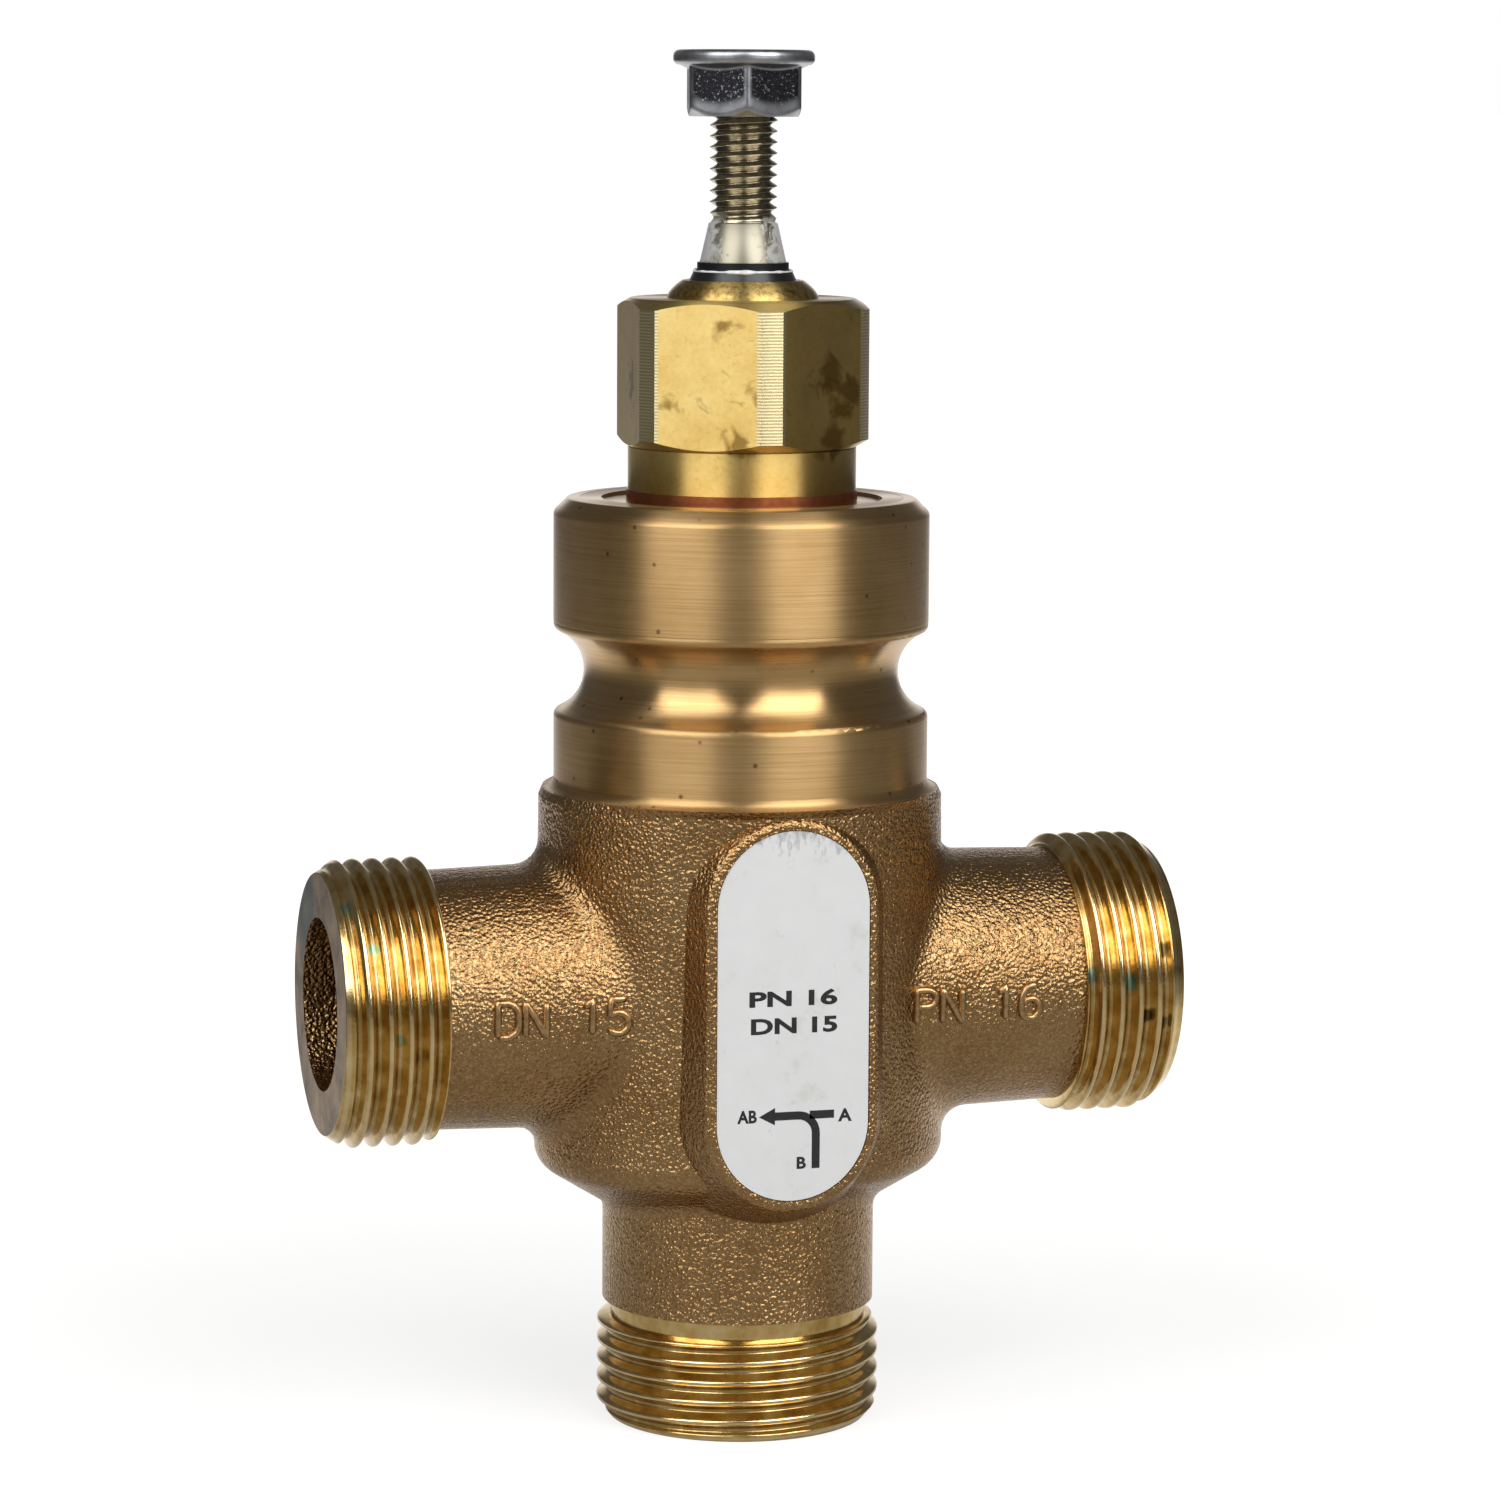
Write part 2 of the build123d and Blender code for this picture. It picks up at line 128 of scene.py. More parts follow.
def measure(tree, operation, vector, other=(0, 0, 0)):
    node = addNode(tree, "VectorMath", {"operation": operation, 1: tuple(other)}, {0: vector})
    return node.outputs["Value"]


def flatten(tree, place):
    return addNode(tree, "VectorMath", {"operation": "MULTIPLY", 1: (1, 1, 0)}, {0: place}).outputs[0]


def addBump(tree, height, strength, depthMm, under=None, invert=False):
    links = {"Height": height, "Normal": under} if under else {"Height": height}
    settings = {"invert": invert, "Strength": strength, "Distance": depthMm * mm}
    return addNode(tree, "Bump", settings, links).outputs[0]


def turnAboutStem(tree, shader):
    axisTurn = addNode(tree, "Tangent", {"direction_type": "RADIAL", "axis": "Z"})
    tree.links.new(axisTurn.outputs[0], shader.inputs["Tangent"])


# directions on the floor: away from the camera, and to its right
cameraTurn = radians(16.01)
viewWay = Vector((sin(cameraTurn), cos(cameraTurn), 0))
sideWay = Vector((cos(cameraTurn), -sin(cameraTurn), 0))
materials = {}

# sand-cast bronze, shot-blasted: tan skin of sand-sized grains that sparkle where one faces a lamp; their
# colour is paler on the raised grains and darker in the hollows between them, partly the sand's own tone and
# partly painted highlight and painted shade
castSkin = {"grainMm": 0.36, "sandMm": 0.45, "lumpMm": 2.6, "toneMm": 9.0, "grainToneAndPaintedLightShare": 0.3}
tree, shader, place = startMaterial("castBronze", {"Metallic": 1.0})
grain = noise(tree, place, castSkin["grainMm"], 2.0, {"Roughness": 0.55})
sand = addNode(tree, "TexVoronoi", {
    "feature": "SMOOTH_F1", "Scale": perMetre(castSkin["sandMm"]), "Smoothness": 0.5}, {"Vector": place})
lumps = noise(tree, place, castSkin["lumpMm"], 2.0)
tone = noise(tree, place, castSkin["toneMm"], 4.0)
skin = ramp(tree, tone, (0.3, "#926e44"), (0.7, "#a7865b"))
# grain colour follows the grain's height: pale tops as a painted highlight, dark hollows as painted shade,
# over the sand's own tone
grainToneAndPaintedLight = ramp(tree, grain, (0.3, "#6b4b2c"), (0.5, "#9f7c52"), (0.7, "#dac094"))
mixed = blend(tree, skin, grainToneAndPaintedLight, castSkin["grainToneAndPaintedLightShare"])
gloss = remap(tree, grain, 0.3, 0.7, 0.36, 0.2)
lumpBump = addBump(tree, lumps, 0.4, 0.2)
sandBump = addBump(tree, sand.outputs["Distance"], 0.9, 0.17, lumpBump, True)
grainBump = addBump(tree, grain, 0.7, 0.18, sandBump)
finishMaterial(tree, shader, mixed, gloss, grainBump)

# lathe-turned bronze: satin, its tool marks run round the stem axis and draw the light out along it;
# the groove, where the clamp sits, is rubbed brighter
turnedSkin = {
    "lineMm": 0.2, "squeeze": (0.012, 0.012, 1.0), "lineShare": 0.35, "toneMm": 7.0, "speckMm": 3.4,
    "grooveR": 21.0, "bandR": 21.6,
}
tree, shader, place = startMaterial("turnedBronze", {
    "Metallic": 1.0, "Anisotropic": 0.85, "Anisotropic Rotation": 0.25})
turnAboutStem(tree, shader)
squeezed = addNode(tree, "Mapping", {"Scale": turnedSkin["squeeze"]}, {"Vector": place}).outputs[0]
marks = noise(tree, squeezed, turnedSkin["lineMm"], 2.0, {"Roughness": 0.7})
tone = noise(tree, place, turnedSkin["toneMm"], 4.0)
body = ramp(tree, tone, (0.3, "#ae8b58"), (0.7, "#c09d6c"))
lines = ramp(tree, marks, (0.3, "#9c794c"), (0.62, "#caab7b"))
mixed = blend(tree, body, lines, turnedSkin["lineShare"])
specks = addNode(tree, "TexVoronoi", {"Scale": perMetre(turnedSkin["speckMm"])}, {"Vector": place})
speckMask = remap(tree, specks.outputs["Distance"], 0.04, 0.11, 0.75, 0.0)
spotted = tint(tree, mixed, "#4a3115", speckMask)
gloss = remap(tree, tone, 0.0, 1.0, 0.36, 0.42)
reach = measure(tree, "LENGTH", flatten(tree, place))
rubbed = remap(tree, reach, turnedSkin["grooveR"] * mm, turnedSkin["bandR"] * mm, 0.72, 1.0)
worn = calculate(tree, "MULTIPLY", gloss, rubbed)
markBump = addBump(tree, marks, 0.4, 0.03)
finishMaterial(tree, shader, spotted, worn, markBump)

# die-cut bronze threads: bright gold, the crest tops painted pale, partly rubbed bare metal and partly a
# painted highlight, and brown in the roots, with a few spots of verdigris and tar where water stood; each
# spot is a place and a reach in mm
threadSkin = {
    "toneMm": 2.4, "fineMm": 0.5, "raggedMm": 1.6,
    "verdigris": [
        (38.6, -15.4, 53.0, 1.0), (42.7, -15.5, 52.0, 1.1), (-48.6, -9.0, 63.4, 0.9),
        (-46.2, -13.2, 59.4, 0.8), (-43.2, -13.3, 59.0, 0.7), (-43.4, -15.4, 49.4, 0.6)],
    "tar": [
        (-42.6, -15.2, 46.9, 0.9), (47.0, -14.6, 55.5, 1.0), (45.2, -15.2, 48.0, 0.9),
        (47.2, -15.0, 47.0, 1.0)],
}
tree, shader, place = startMaterial("cutThreadBronze", {"Metallic": 1.0})
height = addNode(tree, "Attribute", {"attribute_name": "threadHeight"}).outputs["Fac"]
tone = noise(tree, place, threadSkin["toneMm"], 4.0, {"Roughness": 0.6})
crest = ramp(tree, tone, (0.3, "#b38e4c"), (0.5, "#cdac6d"), (0.72, "#ddc38e"))
dirty = calculate(tree, "MULTIPLY_ADD", tone, 0.34, -0.17)
depth = calculate(tree, "ADD", height, dirty)
rootMask = remap(tree, depth, 0.0, 0.12, 0.4, 0.0)
# pale crest tops: partly rubbed bare metal, partly a painted highlight
crestWearAndHighlight = remap(tree, height, 0.86, 0.98, 0.0, 0.45)
crestWornAndHighlit = tint(tree, crest, "#ecd9ae", crestWearAndHighlight)
stained = tint(tree, crestWornAndHighlit, "#6b5326", rootMask)
valley = remap(tree, height, 0.35, 0.75, 1.0, 0.0)
for spotColour, spots in (("#7fa596", threadSkin["verdigris"]), ("#17130b", threadSkin["tar"])):
    for x, y, z, reach in spots:
        away = measure(tree, "DISTANCE", place, (x * mm, y * mm, z * mm))
        ragged = calculate(tree, "MULTIPLY_ADD", tone, threadSkin["raggedMm"] * mm, away)
        spot = remap(tree, ragged, (reach + 0.6) * mm, (reach + 1.0) * mm, 0.75, 0.0)
        stained = tint(tree, stained, spotColour, calculate(tree, "MULTIPLY", spot, valley))
gloss = remap(tree, rootMask, 0.0, 1.0, 0.17, 0.5)
fine = noise(tree, place, threadSkin["fineMm"], 3.0)
finishMaterial(tree, shader, stained, gloss, addBump(tree, fine, 0.25, 0.04))

# faced bronze, left to tarnish: dull grey-brown, with a green-black stain at the back of port AB
facedSkin = {"toneMm": 5.0, "stain": (-50.0, 8.0, 60.0), "stainMm": 7.0, "fadeMm": 3.0, "raggedMm": 5.0}
tree, shader, place = startMaterial("facedBronze", {"Metallic": 0.95})
tone = noise(tree, place, facedSkin["toneMm"], 5.0, {"Roughness": 0.65})
patina = ramp(tree, tone, (0.34, "#554328"), (0.5, "#7c6240"), (0.7, "#977a54"))
away = measure(tree, "DISTANCE", place, [v * mm for v in facedSkin["stain"]])
ragged = calculate(tree, "MULTIPLY_ADD", tone, facedSkin["raggedMm"] * mm, away)
stainEnd = (facedSkin["stainMm"] + facedSkin["fadeMm"]) * mm
stainMask = remap(tree, ragged, facedSkin["stainMm"] * mm, stainEnd, 0.85, 0.0)
stained = tint(tree, patina, "#2c3a34", stainMask)
finishMaterial(tree, shader, stained, remap(tree, tone, 0.0, 1.0, 0.55, 0.35))

# drawn hexagon brass with turned corners: bright yellow flats, stained, the right-hand flats darker brown,
# partly tarnish and partly painted shade, fine lathe lines on the corners, brown dust on the dome
brassSkin = {
    "toneMm": 6.0, "fineMm": 0.6, "stainMm": 3.0, "raggedMm": 9.0, "lineMm": 0.36, "dustShare": 0.3,
    "cornerR": 14.72, "cornerEdge": 0.05, "hexTop": 131.2, "domeFade": 0.4, "flatR": 13.5,
    "tarnishShadeWay": (0.75, -0.66, 0.0), "tarnishShadeFrom": 8.5, "tarnishShadeTo": 11.5,
    "stains": [  # turn of the flat in degrees, place along it, height and reach in mm
        (-123, 1.3, 128.8, 0.7), (-123, -4.4, 121.0, 0.5), (-123, 5.3, 121.8, 0.4), (-123, 3.7, 115.4, 1.0),
        (-63, 1.1, 124.2, 1.7), (-63, -1.4, 121.9, 1.1), (-63, 4.2, 120.4, 1.3), (-63, 1.0, 115.4, 1.2),
        (177, 1.0, 122.4, 1.2), (57, -2.0, 119.0, 1.3), (117, 2.5, 125.0, 0.9), (-3, 0.5, 121.0, 1.4)],
}
tree, shader, place = startMaterial("drawnBrass", {
    "Metallic": 1.0, "Anisotropic": 0.9, "Anisotropic Rotation": 0.25})
turnAboutStem(tree, shader)
tone = noise(tree, place, brassSkin["toneMm"], 5.0, {"Roughness": 0.62})
fine = noise(tree, place, brassSkin["fineMm"], 3.0, {"Roughness": 0.7})
blots = noise(tree, place, brassSkin["stainMm"], 3.0, {"Distortion": 0.6})
brass = ramp(tree, tone, (0.28, "#c2a054"), (0.5, "#d7bb72"), (0.72, "#e2cc86"))
dust = ramp(tree, fine, (0.26, "#5d4519"), (0.4, "#cca963"), (0.78, "#e4c886"))
mixed = blend(tree, brass, dust, brassSkin["dustShare"])
stained = tint(tree, mixed, "#7d5f28", remap(tree, blots, 0.66, 0.74, 0.0, 0.6))
for turn, along, level, size in brassSkin["stains"]:
    a = radians(turn)
    spot = Vector((cos(a), sin(a), 0)) * brassSkin["flatR"] + Vector((-sin(a), cos(a), 0)) * along
    spot.z = level
    away = measure(tree, "DISTANCE", place, spot * mm)
    ragged = calculate(tree, "MULTIPLY_ADD", blots, brassSkin["raggedMm"] * mm, away)
    stain = remap(tree, ragged, (size + 3.9) * mm, (size + 5.3) * mm, 0.8, 0.0)
    stained = tint(tree, stained, "#74561f", stain)
level = addNode(tree, "SeparateXYZ", {}, {0: place}).outputs[2]
reach = measure(tree, "LENGTH", flatten(tree, place))
cornerLow, cornerHigh = [(brassSkin["cornerR"] + way * brassSkin["cornerEdge"]) * mm for way in (-1, 1)]
corner = remap(tree, reach, cornerLow, cornerHigh)
dome = remap(tree, level, brassSkin["hexTop"] * mm, (brassSkin["hexTop"] + brassSkin["domeFade"]) * mm)
dusty = remap(tree, fine, 0.4, 0.62, 0.15, 0.75)
domed = tint(tree, stained, "#6b4f22", calculate(tree, "MULTIPLY", dome, dusty))
# the right-hand flats darkened brown: partly tarnish, partly painted shade on the side away from the lamps
rightOf = measure(tree, "DOT_PRODUCT", place, brassSkin["tarnishShadeWay"])
tarnishAndShade = remap(tree, rightOf, brassSkin["tarnishShadeFrom"] * mm, brassSkin["tarnishShadeTo"] * mm, 0.0, 0.9)
tarnishedAndShaded = tint(tree, domed, "#76592a", calculate(tree, "MULTIPLY", tarnishAndShade, tone))
cleanLines = tint(tree, tarnishedAndShaded, "#c9ba90", corner)
gloss = remap(tree, tone, 0.0, 1.0, 0.42, 0.36)
lathe = addNode(tree, "TexWave", {
    "wave_type": "BANDS", "bands_direction": "Z", "Scale": perMetre(brassSkin["lineMm"]) * 2 * pi / 20,
    "Distortion": 0.3, "Detail": 1.0, "Detail Scale": 2.0}, {"Vector": place})
lineBump = addNode(tree, "Bump", {"Distance": 0.02 * mm}, {
    "Strength": corner, "Height": lathe.outputs["Fac"], "Normal": addBump(tree, fine, 0.2, 0.03)})
finishMaterial(tree, shader, cleanLines, gloss, lineBump.outputs[0])

# zinc-plated forged steel: grey, painted dark with sparse painted glints in the middle of the wrench flats as
# painted shade, keeping the plain grey along every edge
zincSkin = {"grainMm": 0.35, "toneMm": 2.0}
tree, shader, place = startMaterial("zincSteel", {"Metallic": 1.0})
facet = addNode(tree, "Attribute", {"attribute_name": "facet"}).outputs["Fac"]
grain = noise(tree, place, zincSkin["grainMm"], 3.0, {"Roughness": 0.7})
tone = noise(tree, place, zincSkin["toneMm"], 3.0)
bright = ramp(tree, tone, (0.3, "#8e8f93"), (0.7, "#b8b9bd"))
flatShadeAndGlints = ramp(tree, grain, (0.5, "#2a2a2e"), (0.6, "#45454a"), (0.68, "#c4c5ca"))
edged = calculate(tree, "MULTIPLY_ADD", grain, 0.7, -0.35)
border = addNode(tree, "Math", {"operation": "ADD", "use_clamp": True}, {0: facet, 1: edged}).outputs[0]
# middle of each flat: painted shade with painted glints
inner = calculate(tree, "MULTIPLY", border, facet)
coloured = addNode(tree, "Mix", {"data_type": "RGBA"}, {0: inner, 6: bright, 7: flatShadeAndGlints}).outputs[2]
gloss = remap(tree, grain, 0.0, 1.0, 0.26, 0.4)
finishMaterial(tree, shader, coloured, gloss, addBump(tree, grain, 0.25, 0.04))

# turned stainless bar: slightly warm, with white assembly grease smeared on both flanks of the cone
stemSkin = {
    "toneMm": 0.6, "smearMm": 1.7, "greaseLow": 135.2, "greaseFoot": 135.7, "greaseFade": 140.2,
    "greaseHigh": 141.0, "threadLow": 139.9, "threadFull": 140.3,
}
tree, shader, place = startMaterial("turnedStainless")
tone = noise(tree, place, stemSkin["toneMm"], 4.0)
smear = noise(tree, place, stemSkin["smearMm"], 5.0, {"Roughness": 0.65, "Distortion": 0.8})
steel = ramp(tree, tone, (0.3, "#8c8370"), (0.7, "#b1a892"))
level = addNode(tree, "SeparateXYZ", {}, {0: place}).outputs[2]
polished = remap(tree, level, stemSkin["threadLow"] * mm, stemSkin["threadFull"] * mm, 1.0, 0.0)
shanked = tint(tree, steel, "#8f8a7b", polished)
way = addNode(tree, "VectorMath", {"operation": "NORMALIZE"}, {0: flatten(tree, place)}).outputs[0]
flank = calculate(tree, "ABSOLUTE", measure(tree, "DOT_PRODUCT", way, sideWay))
spread = calculate(tree, "MULTIPLY_ADD", smear, 1.7, flank)
sides = remap(tree, spread, 1.42, 1.68)
above = remap(tree, level, stemSkin["greaseLow"] * mm, stemSkin["greaseFoot"] * mm)
below = remap(tree, level, stemSkin["greaseFade"] * mm, stemSkin["greaseHigh"] * mm, 1.0, 0.0)
greasy = calculate(tree, "MULTIPLY", calculate(tree, "MULTIPLY", above, below), sides)
coloured = tint(tree, shanked, "#a6a6a4", greasy)
metal = calculate(tree, "SUBTRACT", 1.0, greasy)
gloss = remap(tree, polished, 0.0, 1.0, 0.22, 0.38)
finishMaterial(tree, shader, coloured, gloss, addBump(tree, greasy, 0.5, 0.08), metal)


# two close tones in one fine noise, for the pieces that hardly show
def quietFinish(name, dark, light, sizeMm, roughness, metallic):
    tree, shader, place = startMaterial(name, {"Metallic": metallic})
    tone = noise(tree, place, sizeMm, 4.0)
    gloss = remap(tree, tone, 0.0, 1.0, roughness + 0.06, roughness - 0.06)
    colour = ramp(tree, tone, (0.3, dark), (0.7, light))
    finishMaterial(tree, shader, colour, gloss, addBump(tree, tone, 0.2, 0.02))


quietFinish("turnedBrass", "#b08a45", "#cfa95e", 1.2, 0.3, 1.0)  # clean lathe-turned brass inside the valve
quietFinish("rolledCopper", "#9c5f40", "#bd7c57", 1.5, 0.3, 1.0)  # annealed copper sheet, reddish and soft
quietFinish("mouldedRubber", "#09090b", "#151517", 0.8, 0.3, 0.0)  # black nitrile, slightly greasy
quietFinish("sinteredPtfe", "#dedcd4", "#efeee8", 2.0, 0.55, 0.0)  # white PTFE, waxy
quietFinish("drawnStainless", "#8d887c", "#aaa496", 0.6, 0.24, 1.0)  # bright stainless, slightly warm
quietFinish("springSteel", "#4b4a4a", "#6a6864", 0.8, 0.34, 1.0)  # blued spring strip
quietFinish("sinteredBronze", "#8a683c", "#a98350", 0.5, 0.45, 1.0)  # porous bush bronze
quietFinish("fettledBronze", "#97764c", "#c6a679", 0.5, 0.34, 1.0)  # raised marks, smoother than the skin
quietFinish("greaseFilm", "#b9b9b8", "#d8d8d6", 0.7, 0.34, 0.0)  # white assembly grease, wet
quietFinish("printInk", "#0c0c0d", "#1c1c1e", 0.7, 0.5, 0.0)  # black thermal print on film

# polyester label film, scuffed: light grey-white, with grey rubs at its upper end
filmSkin = {
    "toneMm": 4.0, "rubMm": 1.6, "rubLow": 66.0, "rubHigh": 72.0, "rubSlant": 35.0, "rubStretch": 0.35,
}
tree, shader, place = startMaterial("labelFilm", {"IOR": 1.5})
tone = noise(tree, place, filmSkin["toneMm"], 6.0, {"Roughness": 0.7})
film = ramp(tree, tone, (0.28, "#c2c1bd"), (0.42, "#cfcfcf"), (0.7, "#d3d3d3"))
slanted = addNode(tree, "Mapping", {
    "Rotation": (0, radians(filmSkin["rubSlant"]), 0), "Scale": (1.0, 1.0, filmSkin["rubStretch"])}, {
    "Vector": place}).outputs[0]
rubs = noise(tree, slanted, filmSkin["rubMm"], 5.0, {"Roughness": 0.7})
level = addNode(tree, "SeparateXYZ", {}, {0: place}).outputs[2]
upper = remap(tree, level, filmSkin["rubLow"] * mm, filmSkin["rubHigh"] * mm, 0.0, 0.2)
rubMask = remap(tree, calculate(tree, "ADD", rubs, upper), 0.66, 0.76, 0.0, 0.6)
rubbed = tint(tree, film, "#7f8084", rubMask)
finishMaterial(tree, shader, rubbed, remap(tree, tone, 0.0, 1.0, 0.5, 0.34))
print("materials:", len(materials))


def addPiece(name, points, faces, finish, body, replaces=(), smooth=True):
    mesh = bpy.data.meshes.new(name)
    mesh.from_pydata((np.asarray(points) * mm).tolist(), [], faces)
    mesh.materials.append(materials[finish])
    tidy = bmesh.new()
    tidy.from_mesh(mesh)
    bmesh.ops.recalc_face_normals(tidy, faces=tidy.faces)
    tidy.to_mesh(mesh)
    tidy.free()
    mesh.polygons.foreach_set("use_smooth", [smooth] * len(mesh.polygons))
    piece = bpy.data.objects.new(name, mesh)
    bpy.context.scene.collection.objects.link(piece)
    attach(piece, body)
    if replaces:
        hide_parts(*replaces)
    return piece


def addLayer(mesh, name, values):
    layer = mesh.attributes.new(name, "FLOAT", "POINT")
    layer.data.foreach_set("value", np.asarray(values, dtype=np.float32).ravel())


def gridFaces(rows, columns, closedRows=False):
    faces = []
    for i in range(rows if closedRows else rows - 1):
        k = (i + 1) % rows
        for j in range(columns):
            n = (j + 1) % columns
            faces.append((i * columns + j, i * columns + n, k * columns + n, k * columns + j))
    return faces


def smoothStep(low, high, value):
    t = np.clip((value - low) / (high - low), 0, 1)
    return t * t * (3 - 2 * t)


def softMin(a, b, blend):
    h = np.clip(0.5 + 0.5 * (b - a) / blend, 0, 1)
    return b * (1 - h) + a * h - blend * h * (1 - h)


def aroundX(along, radius, theta, height):
    return np.stack([along, radius * np.cos(theta), height + radius * np.sin(theta)], -1)


def aroundZ(along, radius, theta):
    return np.stack([radius * np.cos(theta), radius * np.sin(theta), along + 0 * theta], -1)


# pipe threads on the three ports, cut as a helix where the solids are plain
portAxis = 50.9
pipeThread = {
    "pitch": 2.309, "root": 15.4, "crest": 16.62, "inner": 14.3, "segments": 144, "step": 0.11,
    "valley": 0.1, "land": 0.94,  # where the flank leaves the root and meets the crest
    "foot": 15.0, "runOut": 4.0,  # radius and slope of the thread's end
    "inset": 0.3,  # how far the inner wall keeps back from the ends
}
ports = {
    "port_ab_thread": {"start": -50.0, "end": -37.8, "face": 15.1, "slope": 0.69, "phase": 0.52},
    "port_a_thread": {"start": 50.0, "end": 37.8, "face": 15.1, "slope": 0.69, "phase": 0.84},
    "port_b_thread": {"start": 0.0, "end": 12.0, "face": 15.2, "slope": 0.89, "phase": 0.09},
}


def makePipeThread(name):
    s = pipeThread
    port = ports[name]
    start, end = port["start"], port["end"]
    along = np.linspace(start, end, int(abs(end - start) / s["step"]) + 1)
    theta = np.linspace(0, 2 * pi, s["segments"], endpoint=False)
    x, t = np.meshgrid(along, theta, indexing="ij")
    turn = (x / s["pitch"] - t / (2 * pi) + port["phase"]) % 1.0
    rise = smoothStep(s["valley"], s["land"], 1 - np.abs(2 * turn - 1))
    radius = s["root"] + (s["crest"] - s["root"]) * rise
    radius = np.minimum(radius, port["face"] + np.abs(x - start) * port["slope"])
    radius = np.minimum(radius, s["foot"] + np.abs(x - end) * s["runOut"])
    inset = s["inset"] * np.sign(end - start)
    ends = [np.full((1, len(theta)), place) for place in (end - inset, start + inset)]
    x = np.concatenate([x] + ends)
    radius = np.concatenate([radius, np.full((2, len(theta)), s["inner"])])  # inner wall, out of sight
    t = np.broadcast_to(theta, x.shape)
    points = aroundZ(x, radius, t) if name == "port_b_thread" else aroundX(x, radius, t, portAxis)
    faces = gridFaces(x.shape[0], len(theta), True)
    piece = addPiece(name, points.reshape(-1, 3), faces, "cutThreadBronze", "valve")
    addLayer(piece.data, "threadHeight", np.concatenate([rise, np.zeros((2, len(theta)))]))


for name in ports:
    makePipeThread(name)
print("pipe threads cut")


def meshSpots(mesh):
    spots = np.zeros(len(mesh.vertices) * 3)
    mesh.vertices.foreach_get("co", spots)
    return spots.reshape(-1, 3) / mm


# casting: the solid's own mesh, drawn in under the cut threads and the collar's rounded edge
casting = {
    "threadFloor": 14.6, "threadFoot": 15.06, "sideFace": 49.9, "neckEnd": 37.8, "footEnd": 12.0,
    "footStart": 11.9, "footNeck": 14.0, "footNeckR": 14.0, "ledge": 74.72, "turnedR": 23.3,
    "collarEdge": 106.7, "collarTopR": 20.0, "edgeIn": 0.9, "slack": 0.05, "threadHeight": 0.6,
}
castMesh = nodes["valve_body"].data.copy()
castMesh.name = "valve_casting"
spots = meshSpots(castMesh)
fromAxis = np.hypot(spots[:, 1], spots[:, 2] - portAxis)
away = np.abs(spots[:, 0])
onSide = (away > casting["neckEnd"] - casting["slack"]) & (away < casting["sideFace"])
onSide &= fromAxis > casting["threadFoot"]
shrink = casting["threadFloor"] / fromAxis[onSide]
spots[onSide, 1] *= shrink
spots[onSide, 2] = portAxis + (spots[onSide, 2] - portAxis) * shrink
fromStem = np.hypot(spots[:, 0], spots[:, 1])
onFoot = (spots[:, 2] < casting["footEnd"] + casting["slack"]) & (spots[:, 2] > 2 * casting["slack"])
onFoot &= fromStem > casting["threadFoot"]
spots[onFoot, :2] *= (casting["threadFloor"] / fromStem[onFoot])[:, None]
onEdge = (spots[:, 2] > casting["collarEdge"]) & (fromStem > casting["collarTopR"])
spots[onEdge, :2] *= (1 - casting["edgeIn"] / fromStem[onEdge])[:, None]
castMesh.vertices.foreach_set("co", (spots * mm).ravel())
castMesh.materials.clear()
for finish in ("castBronze", "turnedBronze", "facedBronze", "cutThreadBronze"):
    castMesh.materials.append(materials[finish])
for polygon in castMesh.polygons:
    c = polygon.center / mm
    reach = (c.x ** 2 + c.y ** 2) ** 0.5
    if c.z > casting["ledge"] and reach < casting["turnedR"]:
        polygon.material_index = 1
    elif abs(c.x) > casting["sideFace"] or c.z < casting["slack"]:
        polygon.material_index = 2
    elif casting["footStart"] < c.z < casting["footNeck"] and reach > casting["footNeckR"]:
        polygon.material_index = 3
    else:
        polygon.material_index = 0
addLayer(castMesh, "threadHeight", np.full(len(castMesh.vertices), casting["threadHeight"]))
valveCasting = bpy.data.objects.new("valve_casting", castMesh)
bpy.context.scene.collection.objects.link(valveCasting)
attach(valveCasting, "valve")
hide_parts("valve_body")
castingSkin = BVHTree.FromPolygons(
    [v.co for v in castMesh.vertices], [polygon.vertices for polygon in castMesh.polygons])
print("casting dressed")

# collar's upper band, its edge broken and rounded by hand on the lathe
collarBand = {
    "r": 21.82, "low": 94.1, "top": 108.42, "topIn": 18.8, "chamfer": 1.62, "rounding": 1.0, "lip": 0.6,
    "inset": 0.5, "seam": 0.05, "segments": 180,  # a row close to an edge keeps its shading crisp
}


def makeCollarBand():
    s = collarBand
    turn = np.linspace(0, pi / 4, 8)
    lowZ = s["top"] - s["chamfer"] - s["rounding"] * tan(pi / 8)
    lipR = s["r"] - s["chamfer"] - s["lip"] * tan(pi / 8)
    profile = [(s["r"] - s["inset"], s["low"]), (s["r"], s["low"]), (s["r"], s["low"] + s["seam"])]
    profile += [(s["r"] + s["rounding"] * (cos(a) - 1), lowZ + s["rounding"] * sin(a)) for a in turn]
    profile += [(lipR + s["lip"] * cos(a), s["top"] + s["lip"] * (sin(a) - 1)) for a in turn + pi / 4]
    profile += [(s["topIn"] + s["seam"], s["top"]), (s["topIn"], s["top"])]
    profile += [(s["topIn"], s["top"] - s["inset"])]
    theta = np.linspace(0, 2 * pi, s["segments"], endpoint=False)
    points = np.stack([aroundZ(z, r, theta) for r, z in profile], 0)
    faces = gridFaces(len(profile), s["segments"], True)
    addPiece("collar_band", points.reshape(-1, 3), faces, "turnedBronze", "valve")


makeCollarBand()
print("collar banded")

